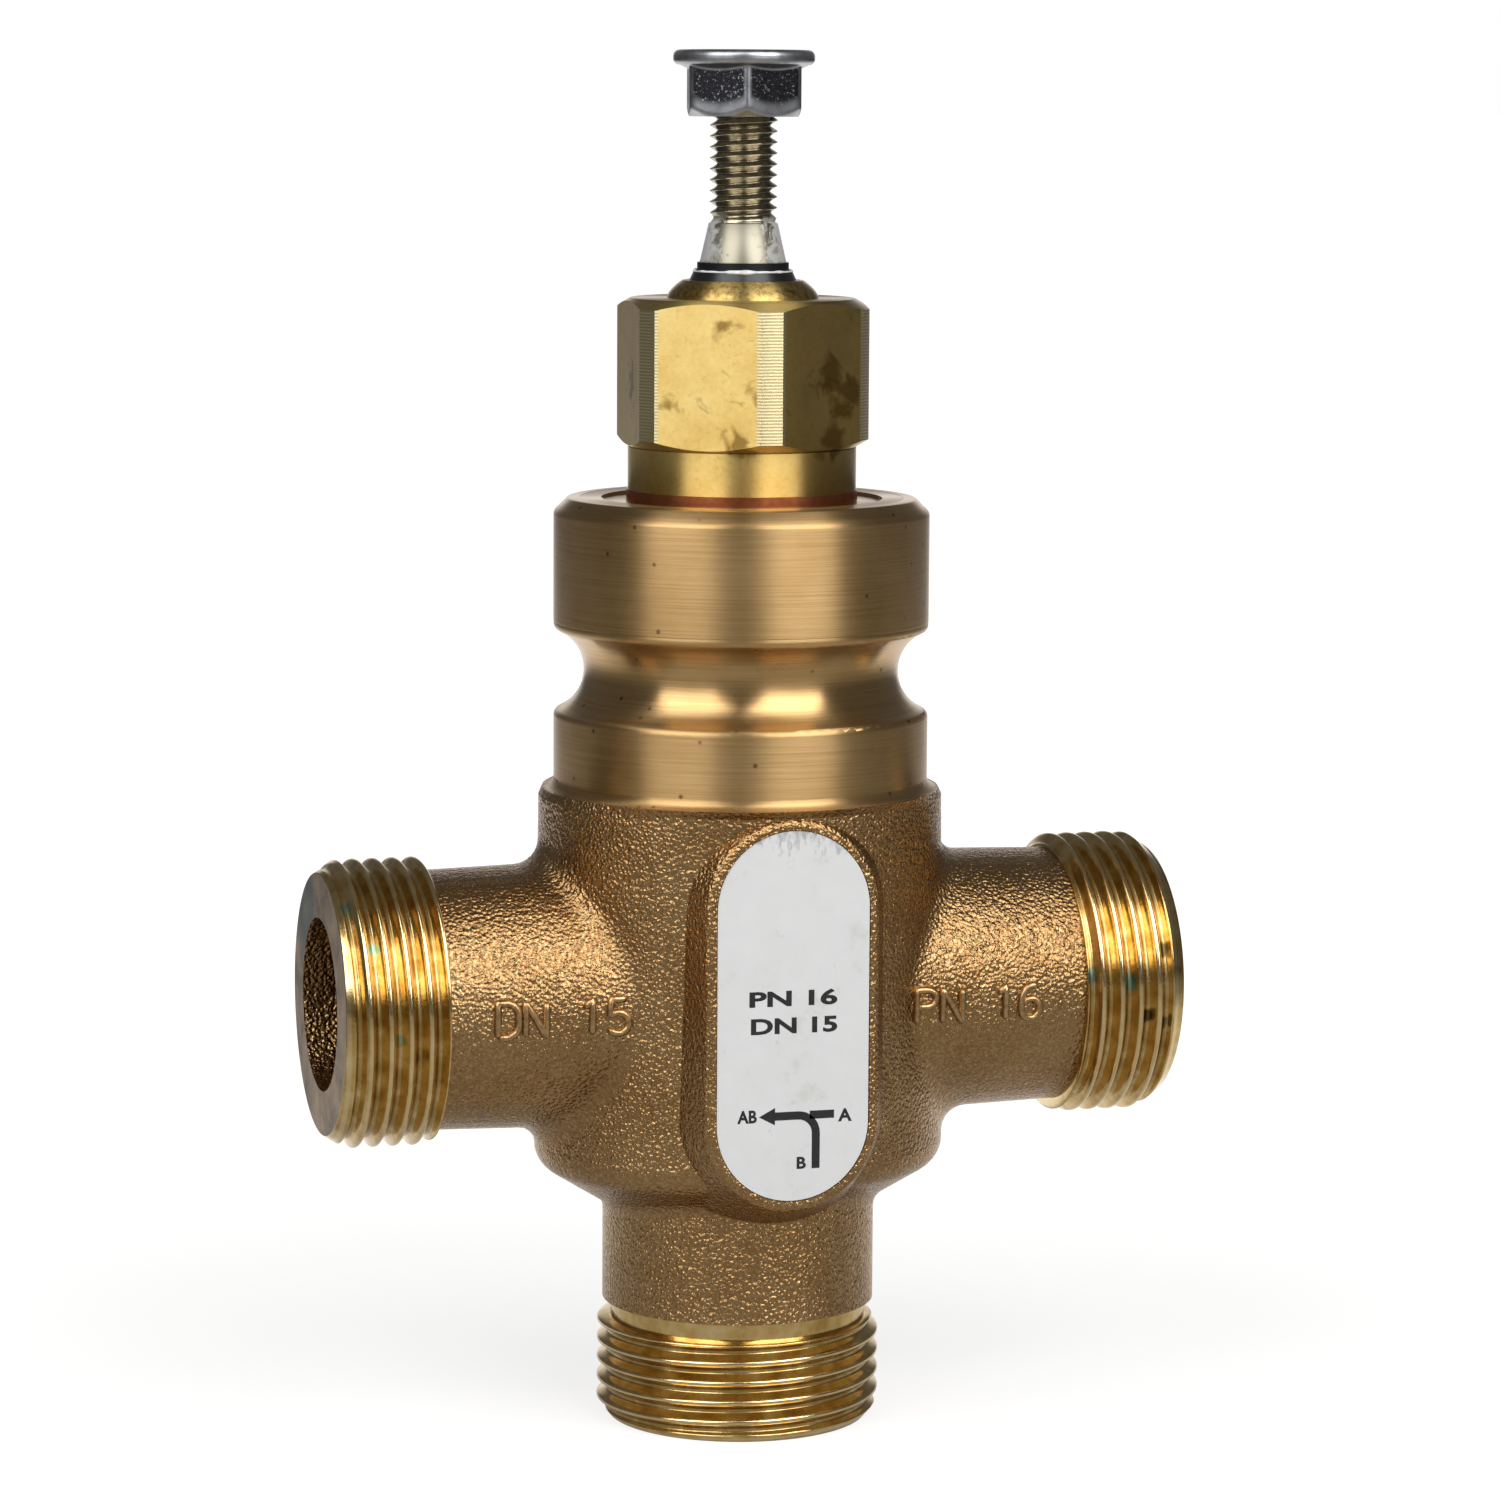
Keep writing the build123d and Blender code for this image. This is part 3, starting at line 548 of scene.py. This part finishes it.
# brass housing: the solid's own mesh, its dome sloped off towards the wiper
slopedDome = {"low": 131.45, "height": 2.05, "topR": 7.0, "footR": 8.76, "curve": 1.7, "slack": 0.01}
brassMesh = nodes["bonnet"].data.copy()
brassMesh.name = "bonnet_sloped"
brassMesh.attributes.remove(brassMesh.attributes["custom_normal"])
spots = meshSpots(brassMesh)
fromStem = np.hypot(spots[:, 0], spots[:, 1])
onDome = spots[:, 2] > slopedDome["low"] + slopedDome["slack"]
onDome &= fromStem > slopedDome["topR"] + slopedDome["slack"]
rise = (spots[onDome, 2] - slopedDome["low"]) / slopedDome["height"]
domeR = slopedDome["footR"] - (slopedDome["footR"] - slopedDome["topR"]) * rise ** slopedDome["curve"]
spots[onDome, :2] *= (domeR / fromStem[onDome])[:, None]
brassMesh.vertices.foreach_set("co", (spots * mm).ravel())
brassMesh.materials.clear()
brassMesh.materials.append(materials["drawnBrass"])
bonnetSloped = bpy.data.objects.new("bonnet_sloped", brassMesh)
bpy.context.scene.collection.objects.link(bonnetSloped)
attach(bonnetSloped, "valve")
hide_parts("bonnet")
print("bonnet sloped")


# letters as a mesh, centred, of a given height, length and thickness in mm
def letterMesh(text, height, length, thick, bold):
    curve = bpy.data.curves.new("letters", "FONT")
    curve.body = text
    curve.extrude = 0.1
    curve.resolution_u = 4
    curve.offset = bold
    holder = bpy.data.objects.new("letters", curve)
    mesh = bpy.data.meshes.new_from_object(holder)
    points = np.zeros(len(mesh.vertices) * 3)
    mesh.vertices.foreach_get("co", points)
    points = points.reshape(-1, 3)
    low, high = points.min(0), points.max(0)
    points = (points - (low + high) / 2) / (high - low) * (length, height, thick)
    faces = [tuple(polygon.vertices) for polygon in mesh.polygons]
    bpy.data.objects.remove(holder)
    bpy.data.curves.remove(curve)
    bpy.data.meshes.remove(mesh)
    return points, faces


# raised foundry marks on the necks, bore size and pressure only, cast as round-backed strokes
neckMarks = {
    "neck_mark_bore": {"text": "DN 15", "x": -32.6, "turn": -7.5},
    "neck_mark_pressure": {"text": "PN 16", "x": 16.9, "turn": -9.6},
    "height": 4.0, "advance": 3.2, "halfWidth": 0.45, "raised": 0.6, "neckR": 15.4, "step": 0.3, "ring": 10,
    "endFat": 0.25, "rayFrom": -40.0,
}
strokes = {  # each letter as one line in a box that is 1 high
    "D": [(0, 0), (0, 1), (0.3, 1), (0.5, 0.91), (0.6, 0.72), (0.6, 0.28), (0.5, 0.09), (0.3, 0), (0, 0)],
    "N": [(0, 0), (0, 1), (0.6, 0), (0.6, 1)],
    "P": [(0, 0), (0, 1), (0.36, 1), (0.54, 0.92), (0.6, 0.75), (0.54, 0.58), (0.36, 0.5), (0, 0.5)],
    "1": [(0.1, 0.78), (0.34, 1), (0.34, 0)],
    "5": [(0.56, 1), (0.08, 1), (0.04, 0.54), (0.2, 0.62), (0.4, 0.6), (0.55, 0.48), (0.6, 0.3), (0.54, 0.12),
          (0.38, 0), (0.17, 0.01), (0, 0.14)],
    "6": [(0.54, 0.92), (0.38, 1), (0.18, 0.92), (0.05, 0.7), (0, 0.36), (0.06, 0.12), (0.24, 0),
          (0.42, 0.02), (0.56, 0.14), (0.6, 0.32), (0.54, 0.5), (0.38, 0.6), (0.2, 0.57), (0.04, 0.42)],
}


def makeNeckMark(name):
    s = neckMarks
    points, faces = [], []
    for place, letter in enumerate(s[name]["text"]):
        if letter == " ":
            continue
        line = np.array(strokes[letter]) * s["height"] + (place * s["advance"], 0)
        reach = np.concatenate([[0], np.cumsum(np.hypot(*np.diff(line, axis=0).T))])
        along = np.linspace(0, reach[-1], int(reach[-1] / s["step"]) + 1)
        u = np.interp(along, reach, line[:, 0])
        v = np.interp(along, reach, line[:, 1])
        way = np.stack([np.gradient(u), np.gradient(v)], -1)
        way /= np.hypot(way[:, 0], way[:, 1])[:, None]
        fromEnd = np.minimum(along, reach[-1] - along)
        fat = np.minimum(1, s["endFat"] + fromEnd / s["halfWidth"])  # rounded ends
        base = len(points)
        for i in range(len(along)):
            for a in np.linspace(0, 2 * pi, s["ring"], endpoint=False):
                across = s["halfWidth"] * fat[i] * cos(a)
                x = s[name]["x"] + u[i] - way[i, 1] * across
                turn = radians(s[name]["turn"]) + (v[i] + way[i, 0] * across) / s["neckR"]
                z = portAxis + s["neckR"] * sin(turn)
                skin = castingSkin.ray_cast(Vector((x, s["rayFrom"], z)) * mm, Vector((0, 1, 0)))[0].y / mm
                points.append((x, skin - s["raised"] * fat[i] * sin(a), z))
        tube = gridFaces(len(along), s["ring"])
        tube += [tuple(range(s["ring"])), tuple(range((len(along) - 1) * s["ring"], len(along) * s["ring"]))]
        faces += [tuple(base + k for k in face) for face in tube]
    addPiece(name, points, faces, "fettledBronze", "valve")


makeNeckMark("neck_mark_bore")
makeNeckMark("neck_mark_pressure")
print("neck marks raised")

# print on the label: ratings and a plain flow sign for a mixing valve, with the letters of the ports
labelPrint = {
    "thick": 0.03, "lift": 0.012, "bold": 0.034,
    "words": [  # text, its middle, height and length
        ("PN 16", 0.0, 53.35, 1.85, 10.4), ("DN 15", 0.1, 50.2, 1.85, 10.2),
        ("AB", -5.4, 39.9, 1.5, 2.3), ("A", 6.2, 39.6, 1.5, 1.65), ("B", 1.05, 34.3, 1.4, 1.1)],
    "bar": 0.95, "barZ": 39.8, "bendR": 2.1, "pipeX": 2.75, "pipeLow": 33.6,
    "arrowTip": -4.0, "arrowBack": -2.1, "arrowHalf": 1.0, "branch": (2.0, 4.9),
}


def makeLabelPrint():
    s = labelPrint
    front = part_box("label")[0].y / mm - s["lift"]
    half = s["bar"] / 2
    level = s["barZ"]
    bendX, bendZ = s["pipeX"] - s["bendR"], level - s["bendR"]
    wide, tight = s["bendR"] + half, s["bendR"] - half
    turn = np.linspace(pi / 2, 0, 9)
    outer = [(bendX + wide * cos(a), bendZ + wide * sin(a)) for a in turn]
    inner = [(bendX + tight * cos(a), bendZ + tight * sin(a)) for a in turn]
    pipe = [(s["arrowBack"], level + half)] + outer + [(s["pipeX"] + half, s["pipeLow"])]
    pipe += [(s["pipeX"] - half, s["pipeLow"])] + inner[::-1] + [(s["arrowBack"], level - half)]
    back = s["arrowBack"]
    arrow = [(s["arrowTip"], level), (back, level + s["arrowHalf"]), (back, level - s["arrowHalf"])]
    low, high = s["branch"]
    branch = [(low, level + half), (high, level + half), (high, level - half), (low, level - half)]
    points, faces = [], []
    for shape in (pipe, arrow, branch):
        n, base = len(shape), len(points)
        points += [(x, front, z) for x, z in shape] + [(x, front + s["thick"], z) for x, z in shape]
        faces += [tuple(range(base, base + n)), tuple(range(base + 2 * n - 1, base + n - 1, -1))]
        faces += [(base + i, base + (i + 1) % n, base + n + (i + 1) % n, base + n + i) for i in range(n)]
    for text, x, z, height, length in s["words"]:
        letters, letterFaces = letterMesh(text, height, length, s["thick"], s["bold"])
        base = len(points)
        points += [(x + p[0], front + s["thick"] / 2 - p[2], z + p[1]) for p in letters]
        faces += [tuple(base + i for i in face) for face in letterFaces]
    addPiece("label_print", points, faces, "printInk", "valve", smooth=False)


makeLabelPrint()
print("label printed")

# stem with its rolled thread
stemSet = {
    "pitch": 1.25, "root": 3.08, "crest": 3.92, "core": 2.6, "axis": 0.02, "segments": 96, "step": 0.07,
    "plugSeat": 48.0, "waistEnd": 70.0, "waistRise": 1.0, "tail": 3.0, "waist": 4.0, "shank": 5.0,
    "shankEnd": 135.55, "coneLow": 135.7, "coneFoot": 4.97, "coneEnd": 139.98, "coneTop": 4.0,
    "coneHigh": 140.1, "threadFoot": 3.85, "tip": 0.6, "seam": 0.05,
    "flankGain": 1.15, "flankFoot": 0.1,  # narrow flats at root and crest
    "startLow": -0.6, "startHigh": 1.9, "startCrest": 0.12, "startEnd": 2.2,  # thread deepens above the cone
}


def makeStem():
    s = stemSet
    low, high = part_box("stem")
    bottom, top = low.z / mm, high.z / mm
    plain = [
        (s["axis"], bottom), (s["tail"], bottom), (s["tail"], s["plugSeat"]),
        (s["waist"], s["plugSeat"] + s["seam"]), (s["waist"], s["waistEnd"]),
        (s["shank"], s["waistEnd"] + s["waistRise"]), (s["shank"], s["shankEnd"]),
        (s["coneFoot"], s["coneLow"]), (s["coneTop"], s["coneEnd"]), (s["threadFoot"], s["coneHigh"]),
    ]
    theta = np.linspace(0, 2 * pi, s["segments"], endpoint=False)
    rows = [aroundZ(z, r, theta) for r, z in plain]
    for z in np.arange(s["coneHigh"] + s["seam"], top, s["step"]):
        turn = (z / s["pitch"] - theta / (2 * pi)) % 1.0
        flank = np.clip((1 - np.abs(2 * turn - 1)) * s["flankGain"] - s["flankFoot"], 0, 1)
        above = z - s["coneHigh"]
        depth = (s["crest"] - s["root"]) * smoothStep(s["startLow"], s["startHigh"], above)
        start = s["startCrest"] * (1 - smoothStep(0, s["startEnd"], above))
        crest = min(s["crest"] - start, s["crest"] - s["tip"] + top - z)
        rows.append(aroundZ(z, np.maximum(crest - depth * (1 - flank), s["core"]), theta))
    tipR = s["crest"] - s["tip"]
    rows += [aroundZ(top, r, theta) for r in (tipR - 2 * s["seam"], tipR - 5 * s["seam"], s["axis"])]
    points = np.stack(rows, 0)
    faces = gridFaces(points.shape[0], len(theta))
    points = points.reshape(-1, 3)
    addPiece("stem_threaded", points, faces, "turnedStainless", "stem_set", ("stem",))


makeStem()
print("stem turned")

# flange nut: forged hexagon with soft corners under a rolled flange
flangeNut = {
    "flats": 12.85, "turn": 17.3, "corner": 7.32, "flangeR": 8.14, "flangeEdge": 1.75,
    "flangeSlope": 25.0,
    "rim": 0.75, "rimRows": 22, "hole": 3.98, "countersink": 0.5, "seam": 0.12, "segments": 216, "step": 0.07,
    "soft": 0.34, "fillet": 0.22, "chamferIn": 0.1, "borderLow": 0.1, "border": 0.55,
    "fade": 0.3,  # the painted shade of a flat gives out slowly towards its lower edge
}


def makeFlangeNut():
    s = flangeNut
    low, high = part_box("flange_nut")
    bottom, top = low.z / mm, high.z / mm
    flatR = s["flats"] / 2
    edge = top - s["flangeEdge"]
    theta = np.linspace(0, 2 * pi, s["segments"], endpoint=False)
    level = np.concatenate([np.arange(bottom, edge, s["step"]), np.linspace(edge, top, s["rimRows"])])
    z, t = np.meshgrid(level, theta, indexing="ij")
    sector = (t - radians(s["turn"])) % (pi / 3)  # corners lie at both ends of a sector
    near = flatR / np.cos(sector - pi / 6)
    nextFlat = flatR / np.cos(pi / 6 + np.minimum(sector, pi / 3 - sector))
    hexagon = softMin(near, s["corner"], s["soft"])
    chamfer = flatR - s["chamferIn"] + z - bottom
    shank = softMin(hexagon, chamfer, s["soft"])
    cone = s["flangeR"] - s["rim"] + (z - edge) / tan(radians(s["flangeSlope"]))
    under = -softMin(-shank, -cone, s["fillet"])
    lowRound = np.clip((edge + s["rim"] - z) / s["rim"], 0, 1)
    highRound = np.clip((z - top + s["rim"]) / s["rim"], 0, 1)
    rim = s["flangeR"] - s["rim"] * (1 - np.sqrt(1 - np.maximum(lowRound, highRound) ** 2))
    radius = np.where(z < edge, under, rim)
    # facet: how far inside a flat a point lies, which sets where the nut's painted shade goes
    gap = np.minimum(np.minimum(nextFlat - near, (chamfer - hexagon) * s["fade"]), hexagon - cone)
    facet = smoothStep(s["borderLow"], s["border"], gap)
    mouth = s["hole"] + s["countersink"]
    inside = [
        (top, mouth + s["seam"]), (top, mouth), (top - s["countersink"], s["hole"]),
        (bottom + s["countersink"], s["hole"]), (bottom, mouth)]
    rows = [aroundZ(z[i], radius[i], theta) for i in range(len(level))]
    rows += [aroundZ(height, r, theta) for height, r in inside]
    points = np.stack(rows, 0)
    faces = gridFaces(len(rows), len(theta), True)
    piece = addPiece(
        "flange_nut_forged", points.reshape(-1, 3), faces, "zincSteel", "nut", ("flange_nut",))
    addLayer(piece.data, "facet", np.concatenate([facet, np.zeros((len(inside), len(theta)))]))


makeFlangeNut()
print("nut forged")

# bead of grease that the stem left on the wiper's step
greaseBead = {
    "r": 5.56, "z": 134.5, "size": 0.2, "segments": 120, "round": 12,
    "waves": [(0.35, 3, 0.7), (0.25, 7, 2.1), (0.15, 17, 0.0)],  # height, count and start of each wave
}


def makeGreaseBead():
    s = greaseBead
    theta = np.linspace(0, 2 * pi, s["segments"], endpoint=False)
    size = s["size"] * (1 + sum(high * np.sin(count * theta + start) for high, count, start in s["waves"]))
    rows = []
    for a in np.linspace(0, 2 * pi, s["round"], endpoint=False):
        rows.append(aroundZ(s["z"] + size * sin(a), s["r"] + size * cos(a), theta))
    points = np.stack(rows, 0)
    faces = gridFaces(s["round"], s["segments"], True)
    addPiece("wiper_grease", points.reshape(-1, 3), faces, "greaseFilm", "valve")


makeGreaseBead()
print("grease laid")

# finishes of the other solids
solidFinish = {
    "bonnet_gasket": "rolledCopper", "wiper_ring": "mouldedRubber", "label": "labelFilm",
    "lower_seat_ring": "turnedBrass", "packing_top_ring": "turnedBrass", "packing_base_ring": "turnedBrass",
    "v_ring_upper": "sinteredPtfe", "v_ring_middle": "sinteredPtfe", "v_ring_lower": "sinteredPtfe",
    "thrust_washer": "drawnStainless", "disc_springs": "springSteel", "guide_bush": "sinteredBronze",
    "retaining_ring": "springSteel", "valve_plug": "turnedBrass", "plug_washer": "drawnStainless",
    "plug_nut": "drawnStainless",
}
for node, finish in solidFinish.items():
    nodes[node].data.materials.clear()
    nodes[node].data.materials.append(materials[finish])
print("solids finished")

# studio: pale paper floor, white backdrop, and a softbox at each side of the camera; lengths in metres
studio = {
    "floor": "#878785", "floorHalf": 30.0, "dim": 0.12, "target": (0.0, 0.0, 0.085),
    "boxTurn": 39.5, "boxRise": 36.0, "boxAway": 0.95, "boxWide": 0.75, "boxHigh": 0.85,
    "leftWatts": 7.7, "rightWatts": 9.3,
    "paleFrom": 0.03, "paleTo": 0.3, "pale": 0.78,  # paper as the eye sees it
    "glowFrom": 0.1, "glowTo": 0.32, "glow": 0.2,  # paper close by, as the metal mirrors it
    "wedgeSpread": 0.155, "wedgeHalf": 0.1, "wedgeFade": 0.2, "behindFrom": -0.05, "behindTo": 0.12,
    "backdropFrom": 0.9, "backdropTo": 0.985,  # share of the view's direction
}
half = studio["floorHalf"]
floorMesh = bpy.data.meshes.new("studio_floor")
corners = [(-half, -half, 0), (half, -half, 0), (half, half, 0), (-half, half, 0)]
floorMesh.from_pydata(corners, [], [(0, 1, 2, 3)])
floor = bpy.data.objects.new("studio_floor", floorMesh)
bpy.context.scene.collection.objects.link(floor)


def mirroredRay(tree, lightPath):
    return calculate(
        tree, "MAXIMUM", lightPath.outputs["Is Glossy Ray"], lightPath.outputs["Is Transmission Ray"])


# matt paper: pale round the object and white to the eye farther off; in the metal it is
# white where it lies behind the object and glows faintly close by
tree, shader, place = startMaterial("floorPaper", {
    "Base Color": linear(studio["floor"]), "Roughness": 0.9, "Specular IOR Level": 0.1,
    "Emission Color": linear("#ffffff")})
lightPath = addNode(tree, "LightPath")
away = measure(tree, "LENGTH", place)
toEye = remap(tree, away, studio["paleFrom"], studio["paleTo"], studio["pale"], 1.0, "SMOOTHSTEP")
behind = measure(tree, "DOT_PRODUCT", place, viewWay)
aside = calculate(tree, "ABSOLUTE", measure(tree, "DOT_PRODUCT", place, sideWay))
limit = calculate(tree, "MULTIPLY_ADD", behind, studio["wedgeSpread"], studio["wedgeHalf"])
excess = calculate(tree, "SUBTRACT", aside, limit)
wedge = remap(tree, excess, 0.0, studio["wedgeFade"], 1.0, 0.0, "SMOOTHSTEP")
beyond = remap(tree, behind, studio["behindFrom"], studio["behindTo"], 0.0, 1.0, "SMOOTHSTEP")
closeBy = remap(tree, away, studio["glowFrom"], studio["glowTo"], studio["glow"], 0.0, "SMOOTHSTEP")
around = calculate(tree, "MAXIMUM", calculate(tree, "MULTIPLY", wedge, beyond), closeBy)
metalPart = calculate(tree, "MULTIPLY", around, mirroredRay(tree, lightPath))
eyePart = calculate(tree, "MULTIPLY", toEye, lightPath.outputs["Is Camera Ray"])
tree.links.new(calculate(tree, "MAXIMUM", metalPart, eyePart), shader.inputs["Emission Strength"])
floorMesh.materials.append(materials["floorPaper"])

# dim room for the object, white backdrop for the eye and in the metal
world = bpy.data.worlds.new("studio")
bpy.context.scene.world = world
world.use_nodes = True
tree = world.node_tree
sky = tree.nodes["Background"]
sky.inputs["Color"].default_value = linear("#ffffff")
lightPath = addNode(tree, "LightPath")
towards = measure(tree, "DOT_PRODUCT", addNode(tree, "TexCoord").outputs["Generated"], viewWay)
backdrop = remap(tree, towards, studio["backdropFrom"], studio["backdropTo"], 0.0, 1.0, "SMOOTHSTEP")
metalPart = calculate(tree, "MULTIPLY", backdrop, mirroredRay(tree, lightPath))
seen = calculate(tree, "MAXIMUM", metalPart, lightPath.outputs["Is Camera Ray"])
tree.links.new(remap(tree, seen, 0.0, 1.0, studio["dim"], 1.0), sky.inputs["Strength"])

for side, name, watts in ((-1, "left_box", studio["leftWatts"]), (1, "right_box", studio["rightWatts"])):
    turn = -cameraTurn + side * radians(studio["boxTurn"])
    rise = radians(studio["boxRise"])
    away = Vector((sin(turn) * cos(rise), -cos(turn) * cos(rise), sin(rise)))
    lamp = bpy.data.lights.new(name, "AREA")
    lamp.shape = "RECTANGLE"
    lamp.size = studio["boxWide"]
    lamp.size_y = studio["boxHigh"]
    lamp.energy = watts
    box = bpy.data.objects.new(name, lamp)
    box.location = Vector(studio["target"]) + away * studio["boxAway"]
    box.rotation_mode = "QUATERNION"
    box.rotation_quaternion = (-away).to_track_quat("-Z", "Y")
    box.visible_camera = False
    bpy.context.scene.collection.objects.link(box)
print("studio lit")

# camera where the photographer stood, found from the port faces, the collar and the nut
cameraSet = {
    "lens": 121.81, "place": (-0.16204, -0.56471, 0.15554),
    "right": (0.96088, -0.27693, 0.00585), "up": (0.0303, 0.12603, 0.99156),
    "back": (-0.27533, -0.95258, 0.12949), "film": 36.0, "near": 0.05, "far": 100.0,
}
cameraData = bpy.data.cameras.new("camera")
cameraData.lens = cameraSet["lens"]
cameraData.sensor_width = cameraSet["film"]
cameraData.clip_start = cameraSet["near"]
cameraData.clip_end = cameraSet["far"]
camera = bpy.data.objects.new("camera", cameraData)
bpy.context.scene.collection.objects.link(camera)
axes = Matrix((cameraSet["right"], cameraSet["up"], cameraSet["back"])).transposed().to_4x4()
camera.matrix_world = Matrix.Translation(cameraSet["place"]) @ axes
bpy.context.scene.camera = camera
bpy.context.scene.view_settings.view_transform = "Standard"
